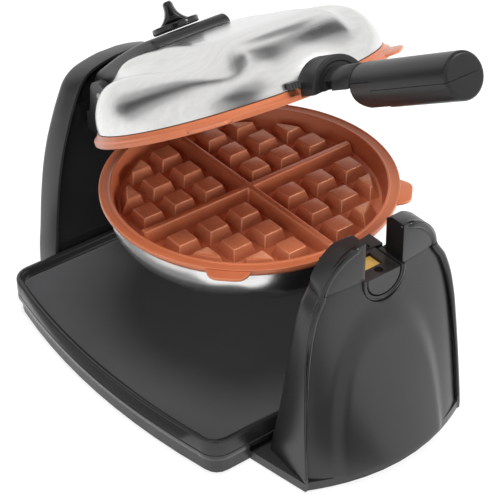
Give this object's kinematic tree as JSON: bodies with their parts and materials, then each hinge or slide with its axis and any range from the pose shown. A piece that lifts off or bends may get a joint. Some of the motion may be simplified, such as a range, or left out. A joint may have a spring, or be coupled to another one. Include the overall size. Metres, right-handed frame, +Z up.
{
  "type": "belgian waffle maker",
  "caption": "Rotating waffle iron: two hinged round grids that flip as one between a front and a rear tower, over a drip tray, with a folding handle and a dial.",
  "frame": {"origin": "on the table, under the centre of the cooking grids and of the flip axis", "axes": "+Z up; the flip axis runs along Y, with the handle and the front tower at -Y and the lid's hinge and the rear tower at +Y; +X to the right when seen from the handle end"},
  "size_m": [0.2528, 0.4048, 0.335],
  "materials": {
    "black_plastic": "satin, lightly grained",
    "gloss_plastic": "high gloss",
    "brushed_steel": "brushed",
    "copper_ceramic": "copper-coloured ceramic non-stick coating on cast aluminium",
    "amber_lens": "translucent gloss",
    "tray_plastic": "satin",
    "plain_steel": "plain",
    "dark_steel": "black oxide",
    "rubber": "matte",
    "phenolic": "moulded phenolic"
  },
  "bodies": {
    "base": {"base_pan": "black_plastic", "foot_1": "rubber", "foot_2": "rubber", "foot_3": "rubber", "foot_4": "rubber", "front_tower_frame": "black_plastic", "front_tower_face": "black_plastic", "neck_saddle": "black_plastic", "cap_left": "black_plastic", "cap_right": "black_plastic", "rear_tower_shell": "black_plastic", "rear_tower_panel": "gloss_plastic", "shaft_bush": "black_plastic", "cord_inlet": "rubber", "cord_cleat_upper": "black_plastic", "cord_cleat_lower": "black_plastic"},
    "tray": {"drip_tray": "tray_plastic"},
    "iron": {"lower_grid": "copper_ceramic", "lower_shell": "brushed_steel", "lower_heater": "dark_steel", "lower_reflector": "plain_steel", "lower_thermostat": "phenolic", "lower_neck": "black_plastic", "ready_lens": "amber_lens", "neck_screw_1": "dark_steel", "neck_screw_2": "dark_steel", "rear_yoke": "black_plastic", "hinge_pin": "plain_steel", "flip_shaft": "plain_steel", "shaft_collar": "plain_steel"},
    "lid": {"upper_grid": "copper_ceramic", "upper_shell": "brushed_steel", "upper_heater": "dark_steel", "upper_reflector": "plain_steel", "upper_thermostat": "phenolic", "upper_neck": "black_plastic", "hinge_arm": "black_plastic"},
    "dial": {"browning_dial": "gloss_plastic"},
    "handle": {"grip_lower": "black_plastic", "grip_upper": "black_plastic", "fold_pin": "dark_steel"},
    "lower_button": {"lower_release_button": "black_plastic"},
    "upper_button": {"upper_release_button": "black_plastic"}
  },
  "joints": [
    {"name": "flip", "type": "hinge", "parent": "base", "child": "iron", "pos_m": [0, 0, 0.146], "axis": [0, 1, 0], "range_deg": [0, 90]},
    {"name": "lid_hinge", "type": "hinge", "parent": "iron", "child": "lid", "pos_m": [0, 0.128, 0.167], "axis": [-1, 0, 0], "range_deg": [-28.45, 20]},
    {"name": "handle_fold", "type": "hinge", "parent": "lid", "child": "handle", "pos_m": [0, -0.13522, 0.28574], "axis": [1, 0, 0], "range_deg": [0, 70]},
    {"name": "dial_turn", "type": "hinge", "parent": "lid", "child": "dial", "pos_m": [0, 0.08121, 0.22969], "axis": [0, 0.5685, 0.8227], "range_deg": [-120, 120]},
    {"name": "tray_slide", "type": "slide", "parent": "base", "child": "tray", "axis": [-1, 0, 0], "range_m": [0, 0.12]},
    {"name": "lower_release", "type": "slide", "parent": "iron", "child": "lower_button", "axis": [-0.2333, 0.9724, 0], "range_m": [0, 0.0015], "stiffness_N_per_m": 300},
    {"name": "upper_release", "type": "slide", "parent": "lid", "child": "upper_button", "axis": [0.2333, 0.855, -0.4632], "range_m": [0, 0.0015], "stiffness_N_per_m": 300}
  ]
}
